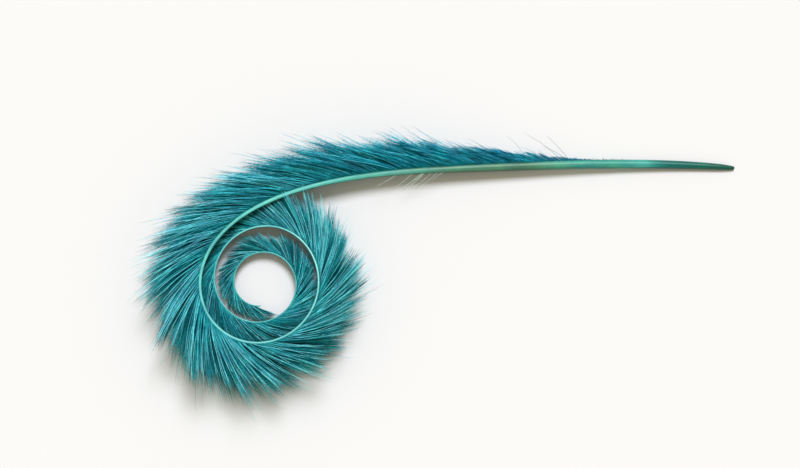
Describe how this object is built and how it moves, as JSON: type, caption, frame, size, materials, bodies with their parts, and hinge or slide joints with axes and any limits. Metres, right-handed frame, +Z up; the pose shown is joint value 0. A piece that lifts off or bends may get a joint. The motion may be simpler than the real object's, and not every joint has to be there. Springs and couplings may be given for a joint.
{
  "type": "burnt pheasant feather",
  "caption": "Dyed tail feather with a bare tapering quill and loose hair-like barbs, its tip curled into a ring; lies on its side.",
  "frame": {"origin": "middle of the feather's box in plan, on the surface that it lies on", "axes": "+X along the bare quill towards its closed end, +Y towards the side that the barbs lean to on the straight stretch, +Z up"},
  "size_m": [0.2354, 0.1006, 0.0315],
  "materials": {
    "barbs": "dyed burnt barbs, fine teal hairs with a soft sheen",
    "quill": "dyed horn-like shaft, mint with a dark green root end, semi-gloss"
  },
  "bodies": {
    "root": {"feather": "barbs"}
  },
  "joints": []
}
